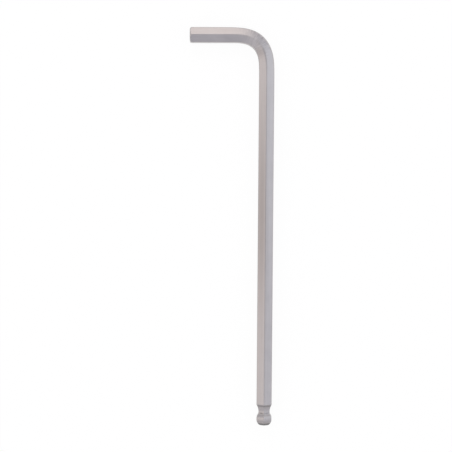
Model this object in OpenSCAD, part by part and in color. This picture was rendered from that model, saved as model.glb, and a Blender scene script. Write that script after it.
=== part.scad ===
// Ball-end hex key, extra-long pattern, size 8.
//
// One piece of drawn hexagonal steel bar, bent to an L. The short arm ends in a flat face
// with a turned chamfer, and the long arm in a ball with six curved flats, which lets the
// key drive a socket screw at an angle. The key lies flat on its lower corner edge, at
// Z = 0: the long arm runs along Y with its ball towards -Y, and the short arm points to -X.

/* [Bar] */
// Width across the flats, a little under the nominal 8 so that it enters the socket
across_flats = 7.96; // [7.2:0.01:9]
// How far each drawn corner falls short of a sharp one
corner_loss = 0.1; // [0.04:0.01:0.3]

/* [Arms] */
// Long arm, from the outside of the bend to the flat tip of the ball
long_arm = 208; // [120:1:260]
// Short arm, from the outside of the bend to its end face
short_arm = 44; // [32:1:80]

/* [Bend] */
// Radius on the inside of the bend
bend_inner_r = 10.25; // [8:0.25:16]

/* [Short arm end] */
// Chamfer turned round the end face, measured from the bar's corners
end_chamfer = 0.7; // [0.6:0.05:1.2]

/* [Ball end] */
// How far the ball's curved flats lie under the bar's flats at the ball's widest place
ball_relief = 0.02; // [0.01:0.01:0.1]
// Distance from the ball's widest place to its flat tip
ball_to_tip = 3.4; // [3:0.05:3.5]
// Distance from the neck's narrowest place to the ball's widest
neck_to_ball = 3.85; // [3.5:0.05:4.1]
// Distance from the shoulder, where the bar's full section ends, to the neck's narrowest place
shoulder_to_neck = 3.85; // [3.2:0.05:4.4]
// Width across the flats of the neck at its narrowest
neck_flats = 5.82; // [5.4:0.02:6.2]

/* [Hidden] */
$fn = 96;

half_flats = across_flats / 2;
sharp_corner_r = half_flats / cos(30);
corner_r = sharp_corner_r - corner_loss;
// Cutting shapes stand this far outside the bar
clear = 1;

bend_r = bend_inner_r + half_flats;
bend_outer_r = bend_inner_r + across_flats;
// The arms' straight lengths, beyond the bend
short_straight = short_arm - bend_outer_r;
long_straight = long_arm - bend_outer_r;

// The ball and the neck, as distances along the long arm's straight length
ball_at = long_straight - ball_to_tip;
neck_at = ball_at - neck_to_ball;
ball_r = half_flats - ball_relief;
// Each side of the neck is hollowed by a round cutter, which leaves the bar at the shoulder
neck_depth = half_flats - neck_flats / 2;
cutter_r = (pow(shoulder_to_neck, 2) + pow(neck_depth, 2)) / (2 * neck_depth);
cutter_off_axis = neck_flats / 2 + cutter_r;
// The hollow gives way to the ball where their two circles overlap most
ball_to_cutter = norm([cutter_off_axis, neck_to_ball]);
overlap_from_ball = (pow(ball_to_cutter, 2) + pow(ball_r, 2) - pow(cutter_r, 2))
    / (2 * ball_to_cutter);
hollow_end = ball_at - neck_to_ball * overlap_from_ball / ball_to_cutter;

// Section of the bar: its flats face X, and two of its corners point along Y
module bar_section() {
    intersection() {
        rotate(30)
            circle(r = sharp_corner_r, $fn = 6);
        circle(r = corner_r);
    }
}

// Plain bar standing on the origin, along Z
module bar(length) {
    linear_extrude(height = length)
        bar_section();
}

// Straight part of the short arm, standing on the bend, with its end chamfered
module short_straight_bar() {
    reach = corner_r + clear;
    face_r = corner_r - end_chamfer;
    intersection() {
        bar(short_straight);
        rotate_extrude()
            polygon([
                [0, -clear],
                [reach, -clear],
                [reach, short_straight - (reach - face_r)],
                [face_r - clear, short_straight + clear],
                [0, short_straight + clear]
            ]);
    }
}

// Quarter turn of bar round the Z axis, from +X to +Y
module bend() {
    rotate_extrude(angle = 90)
        translate([bend_r, 0])
            bar_section();
}

// Side view of what the cutters leave of the long arm: the bar, the hollow neck and the ball
module milled_outline() {
    translate([0, ball_at])
        circle(r = ball_r);
    difference() {
        translate([-half_flats - clear, -clear])
            square([2 * (half_flats + clear), hollow_end + clear]);
        for (side = [-1, 1])
            translate([side * cutter_off_axis, neck_at])
                circle(r = cutter_r);
    }
}

// Straight part of the long arm, standing on the bend, with its end milled from three sides
module long_straight_bar() {
    intersection() {
        bar(long_straight);
        intersection_for(pair = [0:2])
            rotate([90, 0, 60 * pair])
                linear_extrude(height = 3 * across_flats, center = true)
                    milled_outline();
    }
}

// Stands an arm on the bend's first face, pointing to -Y
module from_bend() {
    translate([bend_r, 0, 0])
        rotate([90, 0, 0])
            children();
}

module hex_key() {
    color("silver")
        translate([short_arm / 2 - bend_outer_r, long_arm / 2 - bend_outer_r, corner_r]) {
            bend();
            from_bend()
                long_straight_bar();
            mirror([1, -1, 0])
                from_bend()
                    short_straight_bar();
        }
}

hex_key();
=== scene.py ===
# %% [markdown]
# # A ball-end hex key in satin plated steel
#
# A hex key is one piece of hexagonal steel bar. A mill cuts a ball with six curved flats on one
# end, a press bends the bar to an L, and a barrel of stones and a plating bath give it a satin
# skin. This lesson builds that skin as one surface: a section carried along a path. It also sets
# up the metal's finish, and the soft light that shows it.
#
# The imported model comes first. It is the fixed frame: it says how large the key is and where it
# lies. The box round it is kept.
# The key's own lengths are in millimetres until they go into a mesh or an object. The floor and
# the lamps are in metres, as everything in the scene is.

# %% Load the frame and measure the key
import math

import bmesh
import bpy
import numpy as np
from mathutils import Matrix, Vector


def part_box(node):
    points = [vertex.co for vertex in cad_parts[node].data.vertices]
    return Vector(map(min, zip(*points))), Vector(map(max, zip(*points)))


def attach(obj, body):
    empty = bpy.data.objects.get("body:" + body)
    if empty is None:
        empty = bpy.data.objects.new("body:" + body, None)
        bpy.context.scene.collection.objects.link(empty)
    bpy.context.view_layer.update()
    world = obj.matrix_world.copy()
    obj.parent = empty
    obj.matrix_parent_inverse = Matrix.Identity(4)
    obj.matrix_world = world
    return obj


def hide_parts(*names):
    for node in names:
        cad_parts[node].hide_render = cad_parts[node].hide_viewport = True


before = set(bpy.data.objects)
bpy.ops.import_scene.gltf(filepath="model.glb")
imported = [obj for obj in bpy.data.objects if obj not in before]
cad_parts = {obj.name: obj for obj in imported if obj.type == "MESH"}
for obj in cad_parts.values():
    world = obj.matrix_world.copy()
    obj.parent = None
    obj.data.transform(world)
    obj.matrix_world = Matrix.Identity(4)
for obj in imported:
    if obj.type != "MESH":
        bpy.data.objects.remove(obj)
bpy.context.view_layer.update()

MM = 0.001
key_low, key_high = (np.array(corner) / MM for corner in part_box("hex_key"))
short_arm, long_arm, thickness = key_high - key_low
print(f"long arm {long_arm:.2f} mm, short arm {short_arm:.2f} mm, thickness {thickness:.2f} mm")

# %% [markdown]
# ## The camera
#
# The key lies on its side and the camera looks almost straight down on it, from about 0.72 m.
# From there the key's two ends are seen at slightly different angles: at one end a little of the
# short arm's inner side turns into view, and at the other a little of the shoulder and the side of
# the ball that faces the neck. A long lens keeps this small. Looking straight down has no natural
# "up", so the camera is turned by three small angles about the X, Y and Z axes, and no aiming
# helper is used.

# %% Place the camera
# In millimetres, and in degrees about X, Y and Z
camera_place = np.array([22.0, 33.47, 726.4])
camera_turn = (-2.605, 1.955, 0.479)

camera_data = bpy.data.cameras.new("camera")
camera_data.lens = 110.0
camera_data.sensor_width = 36.0
camera = bpy.data.objects.new("camera", camera_data)
bpy.context.scene.collection.objects.link(camera)
camera.rotation_mode = "ZYX"
camera.rotation_euler = [math.radians(angle) for angle in camera_turn]
camera.location = camera_place * MM
bpy.context.scene.camera = camera
print(f"camera {camera.location.z:.3f} m above the floor")

# %% [markdown]
# ## The section of the bar
#
# A drawn hexagon has rounded corners, about 0.65 mm in radius on a bar of this size. The round
# corners matter more than their size suggests: each one is a narrow cylinder that mirrors the
# whole room, and it draws the thin line between two faces.
#
# A section could be a list of points, or a Bevel modifier on a plain hexagon. Here it is a
# formula in polar form, the distance from the axis in each direction, because the ball end then
# needs nothing new: cutting one shape down to another is a minimum of two distances.

# %% Section as a distance from the axis
half_flats = 3.98
corner_r = 0.65
sixth_turn = math.pi / 3


def hexagon_radius(turn, half_width, rounding):
    """Distance from the axis to a rounded hexagon in the direction turn, in radians.
    On a flat it is half_width over the cosine of the angle to the flat's middle. Near a corner
    it is the far side of the corner's circle: with c the distance to the circle's centre and a
    the angle to the corner, c cos a plus the root of rounding squared less (c sin a) squared."""
    from_flat = np.abs((turn + sixth_turn / 2) % sixth_turn - sixth_turn / 2)
    from_corner = sixth_turn / 2 - from_flat
    centre = (half_width - rounding) / math.cos(sixth_turn / 2)
    under_root = rounding**2 - (centre * np.sin(from_corner)) ** 2
    corner = centre * np.cos(from_corner) + np.sqrt(np.maximum(under_root, 0))
    corner_begins = np.arctan((half_width - rounding) * math.tan(sixth_turn / 2) / half_width)
    return np.where(from_flat > corner_begins, corner, half_width / np.cos(from_flat))


across_corners = 2 * hexagon_radius(math.pi / 2, half_flats, corner_r)
print(f"{2 * half_flats:.2f} mm across the flats, {across_corners:.2f} mm across the corners")

# %% [markdown]
# The mesh will have one column of points for each direction round the section. The columns stand
# close together at the corners, where the surface turns quickly, and wide apart on the flats.
# Evenly spaced columns would need about five times as many points for corners as round as these.

# %% Directions round the section
half_side = np.radians([0, 0.4, 0.8, 1.3, 1.9, 2.6, 3.4, 4.3, 5.3, 6.4, 7.6, 9, 11, 14, 18, 23])
one_side = np.concatenate([half_side, sixth_turn - half_side[:0:-1]])
turns = np.concatenate([one_side + (side + 0.5) * sixth_turn for side in range(6)])
print(f"{len(turns)} directions round the section, {len(one_side)} for each of its sides")

# %% [markdown]
# ## The line that the bar follows
#
# The bar is pressed round a former, and it springs back and drags a little on both sides of it.
# So the bend isn't one arc: it is tightest near the middle, a little on the short arm's side, and
# eases into each arm. An arc from a curve tool would miss that. The curvature is written down
# instead, as a power of a sine, which rises and falls slowly at its ends. Adding the curvature up
# gives the direction, and adding the directions up gives the line.

# %% Shape of the bend
bend_length = 42.5
bend_lean = 0.89
bend_power = 3


def bend_shape(share):
    """Curvature as a share of its greatest, at a share of the bend's length: the sine of pi times
    share to the power bend_lean, raised to bend_power. It is 0 at both ends of the bend."""
    inside = np.clip(share, 0, 1) ** bend_lean
    return np.sin(math.pi * inside) ** bend_power


def bend_line(steps=4000):
    """Position and direction along the bend, starting at (0, 0) along +X and turning to -Y.
    The direction is minus the running sum of the curvature, scaled to end at a quarter turn,
    and the position is the running sum of the direction's cosine and sine."""
    along = np.linspace(0, bend_length, steps)
    curvature = bend_shape(along / bend_length)
    direction = np.concatenate([[0], np.cumsum(curvature[1:] + curvature[:-1])])
    direction *= -(math.pi / 2) / direction[-1]
    middle = (direction[1:] + direction[:-1]) / 2
    x = np.concatenate([[0], np.cumsum(np.cos(middle)) * along[1]])
    y = np.concatenate([[0], np.cumsum(np.sin(middle)) * along[1]])
    return along, x, y, direction


bend_along, bend_x, bend_y, bend_direction = bend_line()
tightest_r = 1 / np.abs(np.gradient(bend_direction, bend_along)).max()
print(f"a quarter turn in {bend_length} mm of bar, with a tightest radius of {tightest_r:.2f} mm")

# %% [markdown]
# The arms are straight, so the rest of the line needs no sums: what the bend doesn't take of each
# arm's length is added before it and after it. From here on, distances along the bar are measured
# from the short arm's end.

# %% Centre line of the whole bar
short_straight = short_arm - half_flats - bend_x[-1]
long_straight = long_arm - half_flats + bend_y[-1]
bar_length = short_straight + bend_length + long_straight


def centre_line(distance):
    """Position and direction at distances from the short arm's end, measured along the bar: along
    +X up to the bend, then read off the bend's line, and along -Y after it."""
    in_bend = distance - short_straight
    after = in_bend - bend_length
    x = np.interp(in_bend, bend_along, bend_x) + np.minimum(in_bend, 0)
    y = np.interp(in_bend, bend_along, bend_y) - np.maximum(after, 0)
    direction = np.interp(in_bend, bend_along, bend_direction)
    return x + key_low[0] + short_straight, y + key_high[1] - half_flats, direction


print(f"bar {bar_length:.1f} mm long, straight for {short_straight:.1f} and {long_straight:.1f} mm")

# %% [markdown]
# ## The ball end and the chamfered end
#
# The ball lets the key turn a screw from the side. A form cutter mills the same profile into
# each of the six flats: a round hollow for the neck, then an arc nearly as wide as the bar. At
# every place along the bar the section is therefore still a hexagon, only a smaller one, and the
# key's surface is the smaller of that hexagon and the bar. Boolean cuts from three sides would make the
# same form, but they leave long thin triangles, which show as kinks in a metal's reflections.
#
# The short arm's end is faced flat in a lathe, with a chamfer round it: there the limit is a cone.

# %% Profile of the ball end
ball_r = 3.96
ball_to_tip = 3.4
neck_to_ball = 3.85
shoulder_to_neck = 3.85
neck_half = 2.91
tip_edge_r = 0.35

# The cutter's circle passes through the neck's narrowest place and through the shoulder
neck_depth = half_flats - neck_half
cutter_r = (shoulder_to_neck**2 + neck_depth**2) / (2 * neck_depth)
shoulder_from_tip = ball_to_tip + neck_to_ball + shoulder_to_neck


def milled_half_flats(from_tip):
    """Half the width across the milled flats, at distances from the ball's tip.
    The ball is a circle: the root of ball_r squared less the square of the distance from its
    widest place. The neck's hollow is the near side of the cutter's circle: neck_half plus
    cutter_r, less the root of cutter_r squared less the square of the distance from the neck.
    From halfway between the two places on, the larger of the two stands."""
    ball = np.sqrt(np.maximum(ball_r**2 - (from_tip - ball_to_tip) ** 2, 0))
    from_neck = from_tip - ball_to_tip - neck_to_ball
    hollow = neck_half + cutter_r - np.sqrt(np.maximum(cutter_r**2 - from_neck**2, 0))
    in_ball = from_neck < -neck_to_ball / 2
    return np.where(in_ball, ball, np.maximum(ball, hollow))


def tip_rounding(from_tip):
    """How far the tip's edge draws in, as a quarter circle: with rise the distance past the place
    where the edge starts, tip_edge_r less the root of tip_edge_r squared less rise squared."""
    rise = np.clip(tip_edge_r - from_tip, 0, tip_edge_r)
    return tip_edge_r - np.sqrt(tip_edge_r**2 - rise**2)


print(f"neck {2 * neck_half:.2f} mm across flats, cut with a radius of {cutter_r:.2f} mm")

# %% [markdown]
# ## The whole surface
#
# Now the section is carried along the line. The grid has one row for each place along the bar
# and one column for each direction round it, so every row is a whole section and the mesh is
# all quads. A curve with a profile would be quicker to draw, but it can only scale its section
# on the way, and this one changes its form at the ball. Rows stand close together where the form
# changes quickly, at the ball, the chamfer and the bend, and far apart on the straight arms.

# %% Rows along the bar
chamfer_rows_end = 1.4
bend_starts = short_straight
bend_ends = bend_starts + bend_length
milling_rows_start = bar_length - shoulder_from_tip - 1.2
tip_edge_starts = bar_length - tip_edge_r
tip_edge_rows = 8


def spaced(start, stop, pitch):
    """Evenly spaced distances from start up to, but not including, stop."""
    count = max(int(round((stop - start) / pitch)), 1)
    return np.linspace(start, stop, count, endpoint=False)


rows = np.concatenate([
    spaced(0, chamfer_rows_end, pitch=0.09),
    spaced(chamfer_rows_end, bend_starts, pitch=1.0),
    spaced(bend_starts, bend_ends, pitch=0.2),
    spaced(bend_ends, milling_rows_start, pitch=1.6),
    spaced(milling_rows_start, tip_edge_starts, pitch=0.085),
    tip_edge_starts + tip_edge_r * np.sin(np.linspace(0, math.pi / 2, tip_edge_rows)),
])
print(f"{len(rows)} rows of {len(turns)} points")

# %% [markdown]
# Three small things belong to a real bend. The metal on the ridges is drawn round the corner, so
# the corners grow blunter towards the middle. The press pinches the bar where the bend starts and
# spreads it in the middle. And the skin wrinkles very slightly, in ridges that run across the bar.
# All three are part of the shape here, because they change the outline.

# %% What pressing does to the bar
# In millimetres: how much rounder the corners get, and the height of the strongest wave
blunting = 1.1
wrinkle_height = 0.007
# Shares of the bar's width, and their places and reach as shares of the bend's length
pinch, pinch_at = 0.015, 0.18
spread, spread_at = 0.02, 0.44
pressed_reach = 0.12


def bell(distance, middle, reach):
    """A bell curve: e to the power of minus the square of the distance from middle over reach. It
    is 1 at middle, 0.37 at reach from it, and next to nothing at twice reach."""
    return np.exp(-(((distance - middle) / reach) ** 2))


def share_of_bend(distance):
    """How sharply the bar is bent, from 0 on the straight arms to 1 at the tightest place: the
    bend's shape at the distance from its start over its length."""
    return bend_shape((distance - bend_starts) / bend_length)


def pressed_width(distance):
    """Width of the section in the plane of the L, as a share of the plain bar's: 1, plus a bell
    curve where the press spreads the bar, less one where it pinches it."""
    share = (distance - bend_starts) / bend_length
    spreading = spread * bell(share, spread_at, pressed_reach)
    pinching = pinch * bell(share, pinch_at, pressed_reach)
    return 1 + spreading - pinching


def bend_wrinkles(distance, turn):
    """Height of the skin's wrinkles: waves along the bar, fading out at the bend's ends.
    Three sine waves of unlike lengths are added, whose phases turn with the direction, so that no
    ridge runs all the way round. The sum less its highest value, times wrinkle_height and the
    share of the bend, only reaches the plain surface and never stands above it."""
    waves = (
        np.sin(distance * 5.3 + 2.1 * np.sin(turn * 2 + 0.4))
        + 0.7 * np.sin(distance * 8.9 + 1.7 * np.sin(turn * 3 + 2.0))
        + 0.5 * np.sin(distance * 3.1 + 2.6 * np.cos(turn + 1.1))
    )
    highest = 1 + 0.7 + 0.5
    return wrinkle_height * (waves - highest) * share_of_bend(distance)


widths = pressed_width(rows)
print(f"width of the section from {widths.min():.3f} to {widths.max():.3f} of the plain bar's")

# %% [markdown]
# Where two of these shapes cross, a plain minimum leaves a mathematically sharp edge, which no
# machine makes and which catches no light. A blended minimum leaves a little less than either
# shape there, so the edge comes out rounded. A Bevel modifier would need the edge to be marked in
# the mesh, but here the edges lie wherever the formulas cross.

# %% Radius of every point
milled_corner_r = 0.14
milled_edge_softness = 0.12
end_face_r = 3.8
end_edge_softness = 0.18
end_zone = 3.0


def blended_minimum(a, b, softness):
    """The smaller of a and b, and a little less where they differ by under softness, which rounds
    the edge where they cross. With n a half plus half of a - b over softness, held between 0 and
    1, it is a(1 - n) + bn - softness n(1 - n), and so never larger than a or b."""
    near = np.clip(0.5 + 0.5 * (a - b) / softness, 0, 1)
    return a * (1 - near) + b * near - softness * near * (1 - near)


def bar_radius(distance, turn):
    """Distance from the axis to the key's surface: the bar, cut down by both ends' profiles. The
    mill's is a hexagon, and the chamfer's a cone that widens by 1 mm for each mm along the bar."""
    from_tip = bar_length - distance
    bar = hexagon_radius(turn, half_flats, corner_r + blunting * share_of_bend(distance))
    milled = hexagon_radius(turn, milled_half_flats(from_tip), milled_corner_r)
    near_ball = from_tip < shoulder_from_tip + end_zone
    radius = np.where(near_ball, blended_minimum(bar, milled, milled_edge_softness), bar)
    radius = radius - tip_rounding(from_tip)
    chamfered = blended_minimum(radius, end_face_r + distance, end_edge_softness)
    return np.where(distance < end_zone, chamfered, radius)


distance_grid, turn_grid = np.meshgrid(rows, turns, indexing="ij")
radius_grid = bar_radius(distance_grid, turn_grid) + bend_wrinkles(distance_grid, turn_grid)
print(f"largest distance from the axis {radius_grid.max():.3f} mm")

# %% [markdown]
# A point's place follows from its row and its column. The line gives the centre of the row and
# the direction that the bar has there, and the radius is laid off from that centre at the
# column's angle. Each end is closed with smaller and smaller copies of its last row, so the flat
# ends are made of quads too.

# %% Points and faces


def swept_points(distance, turn, radius):
    """Points of the surface. From the line, each point goes outwards in the plane of the L by
    radius times cos(turn) times pressed_width, and up by radius times sin(turn)."""
    x, y, direction = centre_line(distance)
    outward = radius * np.cos(turn) * pressed_width(distance)
    axis_z = key_low[2] + thickness / 2
    return np.stack([
        x - outward * np.sin(direction),
        y + outward * np.cos(direction),
        axis_z + radius * np.sin(turn),
    ], axis=-1)


def capped(grid, shares=(0.0, 0.35, 0.7)):
    """The grid of rows with smaller copies of its first and last row drawn towards their
    centres, which close both ends: the centre plus a share of the way out to the row."""
    first, last = grid[0], grid[-1]
    first_centre, last_centre = first.mean(0), last.mean(0)
    start = [first_centre + share * (first - first_centre) for share in shares]
    end = [last_centre + share * (last - last_centre) for share in shares[::-1]]
    return np.concatenate([np.stack(start), grid, np.stack(end)])


def tube_faces(row_count, column_count):
    """Quads between neighbouring rows, closed round the columns, seen anticlockwise from outside.
    A point's number is its row times the number of columns, plus its column."""
    row = np.arange(row_count - 1)[:, None]
    column = np.arange(column_count)[None, :]
    after = (column + 1) % column_count
    corners = [row * column_count + column, (row + 1) * column_count + column,
               (row + 1) * column_count + after, row * column_count + after]
    return np.stack(corners, axis=-1).reshape(-1, 4)


points = capped(swept_points(distance_grid, turn_grid, radius_grid))
faces = tube_faces(*points.shape[:2])
print(f"{points.shape[0] * points.shape[1]} points, {len(faces)} quads")

# %% [markdown]
# ## The mesh, and the map that the finish follows
#
# The map's first coordinate is the distance along the bar and its second the distance round it,
# both in centimetres, so a pattern drawn on it runs round the bend with the metal. Object
# coordinates would cut straight across it. On the two flat ends the second coordinate is the
# distance from the axis instead, so the lines of the finish become rings there, as a facing tool
# leaves them.

# %% Mesh and map
cap_rows = (len(points) - len(rows)) // 2
from_axis = np.linalg.norm(points - points.mean(1, keepdims=True), axis=-1)


def smooth_mesh(name, points, faces):
    """A smooth-shaded mesh of the points, in metres, and the quads."""
    mesh = bpy.data.meshes.new(name)
    mesh.vertices.add(points.size // 3)
    mesh.vertices.foreach_set("co", points.ravel() * MM)
    mesh.loops.add(faces.size)
    mesh.loops.foreach_set("vertex_index", faces.ravel())
    mesh.polygons.add(len(faces))
    mesh.polygons.foreach_set("loop_start", np.arange(len(faces)) * 4)
    mesh.polygons.foreach_set("use_smooth", np.ones(len(faces), bool))
    return mesh


def along_and_across(points, faces):
    """The map at each face's corners, in centimetres: the length of the line through the rows'
    centres, and the turn times half_flats. On the caps the second is the distance from the axis.
    The last column's faces end a full turn on, so that the pattern doesn't run back there."""
    steps_along = np.linalg.norm(np.diff(points.mean(1), axis=0), axis=1)
    along = np.concatenate([[0], np.cumsum(steps_along)])
    row, column = np.divmod(faces, points.shape[1])
    closing = (column == 0) & (column[:, [0]] == points.shape[1] - 1)
    turn = np.append(turns, turns[0] + 2 * math.pi)[np.where(closing, points.shape[1], column)]
    on_cap = (row.min(1) < cap_rows) | (row.max(1) >= len(points) - cap_rows)
    across = np.where(on_cap[:, None], from_axis.ravel()[faces], turn * half_flats)
    return np.stack([along[row] / 10, across / 10], axis=-1)


key_map = along_and_across(points, faces)
mesh = smooth_mesh("plated_key", points, faces)
mesh.uv_layers.new(name="along_bar").uv.foreach_set("vector", key_map.ravel())
print(f"map up to {key_map[..., 0].max():.1f} cm along and {key_map[..., 1].max():.1f} cm across")

# %% [markdown]
# Five more values are kept at every point, for the places where the finish differs: how sharply
# the bar is bent there, whether a mill has cut it, how steeply the cut leans from the axis's
# direction, and two of painted shade: how dark it is at the edges of the cut, and how much of it
# lies on the inner face. The painted shade there stands in for darker reflections, on the upper
# face on the inner side of the L: in a long stretch in the middle of the long arm, and in a small
# patch on the inside of the bend. The values could be painted by hand as vertex colours, but as
# formulas they keep their places when a size changes.

# %% Painted shade on the inner face
inner_face_turn = math.radians(120)
# Painted shade on the inner face: a long stretch on the long arm and a small patch in the bend
arm_shade_from_tip, arm_shade_reach = 112, 55
bend_shade_at, bend_shade_reach, bend_shade_strength = 25, 3.4, 0.6


def inner_face_share(turn):
    """1 in the middle of the upper face on the inner side, and next to nothing on the other upper
    face: the cosine of the angle to that middle, raised to the fourth power."""
    return np.clip(np.cos(turn - inner_face_turn), 0, 1) ** 4


def inner_shade_share(distance, turn):
    """How strong the painted shade on the inner face is: a bell curve along the long arm, plus a small
    one in the bend, both times the inner face's share."""
    arm_shade = bell(distance, bar_length - arm_shade_from_tip, arm_shade_reach)
    bend_shade = bend_shade_strength * bell(distance, bend_starts + bend_shade_at, bend_shade_reach)
    return (arm_shade + bend_shade) * inner_face_share(turn)


# The place printed is the middle of the painted shade on the long arm
print(f"plating dullest {arm_shade_from_tip} mm from the tip of the ball")

# %% [markdown]
# Shade is painted at the edges of the milled cuts, the darkest on the milled end: in a thin line
# just past the shoulder, in another in the groove above the ball, and in a rim round the tip.
# Lines as thin as these would need a very large image, but not a formula.

# %% Painted shade at the edges of the cut
tip_rim_full, tip_rim_gone = 1.05, 1.55
edge_shade_strength, inner_side_extra = 0.6, 0.6
shoulder_shade, shoulder_shade_reach = shoulder_from_tip - 0.65, 0.4
groove_shade, groove_shade_reach = ball_to_tip + 3.15, 0.35


def cut_steepness(from_tip):
    """Slope of the milled profile, from 0 along the bar to 1 at 45 degrees and over: the size of
    the change in half the width across flats, over a change in distance of 0.1 mm."""
    step = 0.1
    rise = milled_half_flats(from_tip + step / 2) - milled_half_flats(from_tip - step / 2)
    return np.clip(np.abs(rise) / step, 0, 1)


def edge_shade_darkness(from_tip, turn):
    """Darkness of the painted shade at the edges of the cut. Round the tip it is full up to
    tip_rim_full from it and gone at tip_rim_gone. At the shoulder and in the groove above the ball
    it lies in narrow bell curves. The groove's is fainter at the corners, by 0.65 plus 0.35 times
    the cosine of six times turn, and stronger on the inner side."""
    tip_rim = np.clip((tip_rim_gone - from_tip) / (tip_rim_gone - tip_rim_full), 0, 1)
    shoulder_line = edge_shade_strength * bell(from_tip, shoulder_shade, shoulder_shade_reach)
    groove_line = edge_shade_strength * bell(from_tip, groove_shade, groove_shade_reach)
    groove_line *= 0.65 + 0.35 * np.cos(6 * turn)
    groove_line *= 1 + inner_side_extra * inner_face_share(turn)
    return np.maximum(tip_rim, shoulder_line + groove_line)


# The places printed are those of the painted shade lines
print(f"marks {shoulder_shade:.2f} and {groove_shade:.2f} mm from the tip, and round the tip")

# %% [markdown]
# Each value is worked out for the whole grid at once and kept as an attribute of the mesh, where
# the shader finds it by its name. The rows of the caps stand at the same distance along the bar
# as the rows that they close.

# %% Keep the values at every point
shoulder_fade = 0.3
point_distance, point_turn = np.meshgrid(
    np.pad(rows, cap_rows, mode="edge"), turns, indexing="ij")
point_from_tip = bar_length - point_distance
cut_share = np.clip((shoulder_from_tip - point_from_tip) / shoulder_fade, 0, 1)
# The painted shade fades out between 2 and 1 mm from the axis, so the flat tip's middle stays bright
rim_share = np.clip(from_axis - 1, 0, 1)


def keep_value(name, values):
    """Keeps a grid of values, one for each point, under a name that the finish can read."""
    attribute = mesh.attributes.new(name, "FLOAT", "POINT")
    attribute.data.foreach_set("value", values.ravel().astype(np.float32))


keep_value("bent", share_of_bend(point_distance))
keep_value("milled", cut_share)
# The cut's steepness sets painted shade on the milled end
keep_value("steep", cut_share * cut_steepness(point_from_tip))
keep_value("edge_shade", edge_shade_darkness(point_from_tip, point_turn) * rim_share)
keep_value("inner_shade", inner_shade_share(point_distance, point_turn))
print(f"{cut_share.mean():.0%} of the points are milled")

# %% [markdown]
# The smallest copy in each cap has no size, so all its points lie in one place. They are joined
# to one point there, and the faces are turned to point outwards. Then the finished piece takes
# the place of the plain solid in the frame.

# %% Make the key's object
mesh.update()
mesh.validate()
key = bpy.data.objects.new("plated_key", mesh)
bpy.context.scene.collection.objects.link(key)


def weld(obj, gap):
    """Joins points closer together than gap, which closes the pole of each cap. Gives the number
    of edges left open and the volume inside."""
    work = bmesh.new()
    work.from_mesh(obj.data)
    bmesh.ops.remove_doubles(work, verts=work.verts, dist=gap)
    bmesh.ops.recalc_face_normals(work, faces=work.faces)
    open_edges = sum(not edge.is_manifold for edge in work.edges)
    volume = work.calc_volume(signed=True)
    work.to_mesh(obj.data)
    work.free()
    return open_edges, volume


open_edges, volume = weld(key, gap=1e-7)
print(f"open edges {open_edges}, volume {volume * 1e6:.3f} cubic centimetres")

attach(key, "root")
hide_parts("hex_key")

# %% [markdown]
# ## The finish
#
# Satin plating is metal with a fine, even roughness, neither a mirror nor a paint. Several things
# stop it from looking like grey plastic. The die leaves lines along the bar, most of them finer
# than a hair and a few as wide as a pencil line. Polishing leaves cloudy patches, a little
# brighter or duller than the rest. In the bend the stretched skin shows fine streaks across the
# bar. The milled end is rougher, with the cutter's marks running round it. Shade is painted into
# the colour as well: a little where the cut is steep, most at the shoulder, in the groove above
# the ball and round the tip, and some in the middle of the long arm's inner face and in a patch
# on the inside of the bend.
#
# All of it could be painted on an image, but one as long as this bar would need to be very large,
# and a smaller one repeats. So the shader works it out from noise and from the five kept values.
#
# A few helpers keep the shader readable. Each adds a node to the shader being built, whose nodes
# and links are kept in two variables, and gives the socket that the next helper takes.

# %% Start the metal's shader
steel = bpy.data.materials.new("satin_plated_steel")
steel.use_nodes = True
nodes, links = steel.node_tree.nodes, steel.node_tree.links
shader = nodes["Principled BSDF"]
shader.inputs["Metallic"].default_value = 1.0


def add(kind, **settings):
    """A new node in the shader being built, with its properties set."""
    node = nodes.new(kind)
    for name, value in settings.items():
        setattr(node, name, value)
    return node


def kept(name):
    """The socket of a value that the mesh keeps at every point."""
    return add("ShaderNodeAttribute", attribute_name=name).outputs["Fac"]


bent, milled, steep = kept("bent"), kept("milled"), kept("steep")
edge_shade, inner_shade = kept("edge_shade"), kept("inner_shade")
print(f"{steel.name} starts with {len(nodes)} nodes")

# %% [markdown]
# The die's lines are noise on the map, stretched so far along the bar that each speck of it turns
# into a line. The streaks and the cutter's marks are stretched the other way, round the bar. The
# clouds and the grain are even noise, so they are made on the object's own coordinates, where
# they have no seam.

# %% Noise for the lines, clouds and streaks


def noise(coordinates, scale=1.0, detail=2.0, stretch=(1, 1, 1)):
    """Noise on the given coordinates, after they are multiplied by stretch and scale. It has
    detail further layers, each half as large and half as strong."""
    mapping = add("ShaderNodeMapping")
    mapping.inputs["Scale"].default_value = stretch
    texture = add("ShaderNodeTexNoise")
    texture.inputs["Scale"].default_value = scale
    texture.inputs["Detail"].default_value = detail
    links.new(coordinates, mapping.inputs["Vector"])
    links.new(mapping.outputs["Vector"], texture.inputs["Vector"])
    return texture.outputs["Fac"]


object_place = add("ShaderNodeTexCoord").outputs["Object"]
along_bar = add("ShaderNodeUVMap", uv_map="along_bar").outputs["UV"]
fine_lines = noise(along_bar, detail=4.0, stretch=(0.8, 42.0, 1.0))
wide_lines = noise(along_bar, stretch=(0.22, 11.0, 1.0))
clouds = noise(object_place, scale=160.0, detail=5.0)
grain = noise(object_place, scale=1500.0)
streaks = noise(along_bar, detail=3.0, stretch=(22.0, 2.4, 1.0))
cutter_lines = noise(along_bar, stretch=(55.0, 4.0, 1.0))
print(f"noise made, {len(nodes)} nodes so far")

# %% [markdown]
# Two of the patterns belong to one part of the key only. They are multiplied by the value kept
# there: the streaks by how sharply the bar is bent, and the cutter's lines by whether it is
# milled. The streaks are made harder first, because noise lies mostly near its middle value.

# %% Patterns that keep to their own part of the key


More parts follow.
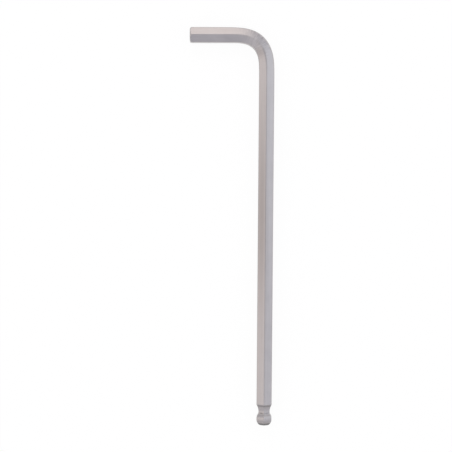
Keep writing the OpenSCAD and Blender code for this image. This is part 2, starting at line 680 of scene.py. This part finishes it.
def between(value, low, high, from_low=0.3, from_high=0.7):
    """The value, carried over in proportion from the range from_low to from_high to the range low
    to high, and held inside it."""
    node = add("ShaderNodeMapRange")
    node.inputs["From Min"].default_value = from_low
    node.inputs["From Max"].default_value = from_high
    node.inputs["To Min"].default_value = low
    node.inputs["To Max"].default_value = high
    links.new(value, node.inputs["Value"])
    return node.outputs["Result"]


def combined(operation, a, b):
    """The operation on a socket and another socket or a number."""
    node = add("ShaderNodeMath", operation=operation)
    links.new(a, node.inputs[0])
    if isinstance(b, (int, float)):
        node.inputs[1].default_value = b
    else:
        links.new(b, node.inputs[1])
    return node.outputs[0]


def times(a, b):
    """The socket a multiplied by b, a socket or a number."""
    return combined("MULTIPLY", a, b)


bend_streaks = times(between(streaks, 0.0, 1.0, from_low=0.4, from_high=0.62), bent)
cutter_marks = times(cutter_lines, milled)
print(f"patterns made, {len(nodes)} nodes so far")

# %% [markdown]
# The colour starts from two tones of the same metal, mixed by the lines and the clouds. Each
# further tone is then laid over it, by the share that its own pattern or kept value gives. The
# stretched skin of the bend is the lightest, and the painted shade at the edges of the cut is the
# darkest. A colour ramp could hold all the tones, but it takes one pattern only.

# %% Tones of the plated steel


def total(first, *others):
    """The sum of two or more sockets."""
    for other in others:
        first = combined("ADD", first, other)
    return first


def mixed_colour(share, a, b):
    """A colour mixed from a and b, each a colour or a socket: a(1 - share) + b share."""
    node = add("ShaderNodeMix", data_type="RGBA")
    links.new(share, node.inputs["Factor"])
    for socket, colour in ((node.inputs["A"], a), (node.inputs["B"], b)):
        if isinstance(colour, tuple):
            socket.default_value = (*colour, 1)
        else:
            links.new(colour, socket)
    return node.outputs["Result"]


darker_tone, lighter_tone = (0.49, 0.470, 0.473), (0.57, 0.548, 0.550)
stretched_tone, streak_tone = (0.62, 0.596, 0.599), (0.49, 0.472, 0.475)
# Tone of the painted shade on the inner face
inner_shade_tone = (0.38, 0.356, 0.353)
# The steep tone is painted shade where the cut is steep; the milled tone is the metal's own
milled_tone, steep_shade_tone = (0.50, 0.479, 0.478), (0.21, 0.200, 0.202)
# Tone of the painted shade at the edges of the cut
edge_shade_tone = (0.16, 0.156, 0.158)

lightness = total(times(fine_lines, 0.35), times(clouds, 0.35), times(wide_lines, 0.3))
metal = mixed_colour(between(lightness, 0.0, 1.0, 0.38, 0.62), darker_tone, lighter_tone)
metal = mixed_colour(times(bent, bent), metal, stretched_tone)
metal = mixed_colour(bend_streaks, metal, streak_tone)
# Painted shade on the inner face of the long arm and of the bend
metal = mixed_colour(inner_shade, metal, inner_shade_tone)
metal = mixed_colour(times(milled, between(grain, 0.0, 0.5)), metal, milled_tone)
# Painted shade where the cut is steep
metal = mixed_colour(times(steep, between(grain, 0.0, 0.15)), metal, steep_shade_tone)
# Painted shade at the edges of the cut, the darkest tone
metal = mixed_colour(times(edge_shade, 0.9), metal, edge_shade_tone)
links.new(metal, shader.inputs["Base Color"])
print(f"colour made, {len(nodes)} nodes so far")

# %% [markdown]
# The roughness rises with the same lines and clouds, and a little more in the bend and on the
# milled end. The relief is only a few hundredths of a millimetre deep, and most of it lies in the
# streaks of the bend. It breaks up the reflections more than it can be seen itself, so a bump in
# the shader is enough, while the bend's wrinkles, which reach the outline, are in the mesh.

# %% Roughness and relief
bump_strength = 0.25
bump_depth = 0.02 * MM

roughness = total(between(fine_lines, 0.28, 0.34), between(clouds, 0.0, 0.05),
                  times(bent, 0.04), times(milled, 0.06))
links.new(roughness, shader.inputs["Roughness"])

bump = add("ShaderNodeBump")
bump.inputs["Strength"].default_value = bump_strength
bump.inputs["Distance"].default_value = bump_depth
relief = total(fine_lines, times(grain, 0.4), times(bend_streaks, 2.5), times(cutter_marks, 0.8))
links.new(relief, bump.inputs["Height"])
links.new(bump.outputs["Normal"], shader.inputs["Normal"])

key.data.materials.append(steel)
print(f"finish made of {len(nodes)} nodes")

# %% [markdown]
# ## The floor and the light
#
# The key lies on a white sheet. A plain square is enough for it, as long as its edges lie far out
# of sight.

# %% Floor
floor_half = 3.0
corner_signs = ((-1, -1), (1, -1), (1, 1), (-1, 1))
floor_corners = [(x * floor_half, y * floor_half, 0) for x, y in corner_signs]
floor_mesh = bpy.data.meshes.new("floor")
floor_mesh.from_pydata(floor_corners, [], [(0, 1, 2, 3)])
floor = bpy.data.objects.new("floor", floor_mesh)
bpy.context.scene.collection.objects.link(floor)
print(f"floor {2 * floor_half:.0f} m wide")

# %% [markdown]
# The camera, and the metal's own reflections, see the sheet as plain white. Stronger lamps would
# whiten it too, but they would bleach the key with it. A share of the sheet stays an ordinary
# matt surface, so the key still leaves a soft shadow.

# %% White sheet
sheet_tone = 0.88
glow_strength = 1.03
glow_share = 0.91

paper = bpy.data.materials.new("white_sheet")
paper.use_nodes = True
nodes, links = paper.node_tree.nodes, paper.node_tree.links
nodes.clear()
matt = add("ShaderNodeBsdfDiffuse")
matt.inputs["Color"].default_value = (sheet_tone, sheet_tone, sheet_tone, 1)
glow = add("ShaderNodeEmission")
glow.inputs["Color"].default_value = (1, 1, 1, 1)
glow.inputs["Strength"].default_value = glow_strength
ray = add("ShaderNodeLightPath").outputs
mirrored = combined("MAXIMUM", ray["Is Glossy Ray"], ray["Is Transmission Ray"])
seen = combined("MAXIMUM", ray["Is Camera Ray"], mirrored)
matt_and_glow = add("ShaderNodeMixShader")
links.new(times(seen, glow_share), matt_and_glow.inputs["Fac"])
links.new(matt.outputs["BSDF"], matt_and_glow.inputs[1])
links.new(glow.outputs["Emission"], matt_and_glow.inputs[2])
sheet_output = add("ShaderNodeOutputMaterial")
links.new(matt_and_glow.outputs["Shader"], sheet_output.inputs["Surface"])
floor_mesh.materials.append(paper)
print(f"{paper.name} made of {len(nodes)} nodes")

# %% [markdown]
# Metal shows its surroundings and nothing else, so each face of the key takes the brightness of
# what lies about 30 degrees above the horizon on its own side. Softboxes give every face its own
# tone: a strong warm one beyond the short arm, a weaker warm one on the left, and two cool ones on
# the right. The gap between the far box and the cool ones shows as the darker band on the outside
# of the bend, where its face turns from one to the other. A faint box at the near left keeps the
# inside of the bend from going as dark as the short arm's near face. A panorama of a studio could
# light the key in one step, but lamps can be set one by one, each against the face it lights.

# %% Softboxes
box_distance = 1.3
box_tall = 1.0


def softbox(name, bearing, elevation, width, radiance, colour):
    """A rectangular lamp on a compass bearing (0 along +X, 90 along +Y), aimed at the key.
    Its centre is box_distance away: out by the cosine of the elevation and up by its sine. Its
    power follows from the radiance wanted: pi times the area times the radiance."""
    data = bpy.data.lights.new(name, "AREA")
    data.shape = "RECTANGLE"
    data.size, data.size_y = width, box_tall
    data.energy = math.pi * width * box_tall * radiance
    data.color = colour
    lamp = bpy.data.objects.new(name, data)
    bpy.context.scene.collection.objects.link(lamp)
    bearing, elevation = math.radians(bearing), math.radians(elevation)
    lamp.location = (box_distance * math.cos(elevation) * math.cos(bearing),
                     box_distance * math.cos(elevation) * math.sin(bearing),
                     box_distance * math.sin(elevation))
    lamp.rotation_mode = "QUATERNION"
    lamp.rotation_quaternion = lamp.location.to_track_quat("Z", "Y")
    print(f"{name}: {data.energy:.2f} W, {lamp.location.z:.2f} m high")


softbox("box_far", 96, 30, width=0.85, radiance=0.78, colour=(1.0, 0.88, 0.76))
softbox("box_left", 181, 32, width=0.9, radiance=0.51, colour=(1.0, 0.86, 0.69))
softbox("box_left_near", 231, 32, width=0.6, radiance=0.13, colour=(1.0, 0.86, 0.72))
softbox("box_right_far", 18, 32, width=0.8, radiance=0.44, colour=(0.89, 0.96, 1.0))
softbox("box_right_near", 342, 32, width=0.8, radiance=0.18, colour=(0.93, 0.98, 1.0))

# %% [markdown]
# The room fills in the rest. An even grey would make the ball look flat, so it has three tones:
# warm and a little darker at the horizon, which draws the shoulder and the ball, cool at half
# height, and nearly neutral overhead. The direction of a ray gives its height, from 0 at the
# horizon to 1 straight up. The camera sees white instead, wherever it looks past the floor.

# %% Room
horizon_tone = (0.53, 0.49, 0.47)
halfway_tone = (0.66, 0.665, 0.735)
overhead_tone = (0.70, 0.685, 0.70)

world = bpy.data.worlds.new("room")
bpy.context.scene.world = world
world.use_nodes = True
nodes, links = world.node_tree.nodes, world.node_tree.links
nodes.clear()
ray_direction = add("ShaderNodeSeparateXYZ")
links.new(add("ShaderNodeTexCoord").outputs["Generated"], ray_direction.inputs["Vector"])
ray_height = ray_direction.outputs["Z"]
lower_room = mixed_colour(between(ray_height, 0.0, 1.0, 0.0, 0.5), horizon_tone, halfway_tone)
room = mixed_colour(between(ray_height, 0.0, 1.0, 0.5, 1.0), lower_room, overhead_tone)
camera_ray = add("ShaderNodeLightPath").outputs["Is Camera Ray"]
background = add("ShaderNodeBackground")
links.new(mixed_colour(camera_ray, room, (1.0, 1.0, 1.0)), background.inputs["Color"])
room_output = add("ShaderNodeOutputWorld")
links.new(background.outputs["Background"], room_output.inputs["Surface"])
bpy.context.scene.view_settings.view_transform = "Standard"
print(f"{world.name} made of {len(nodes)} nodes")
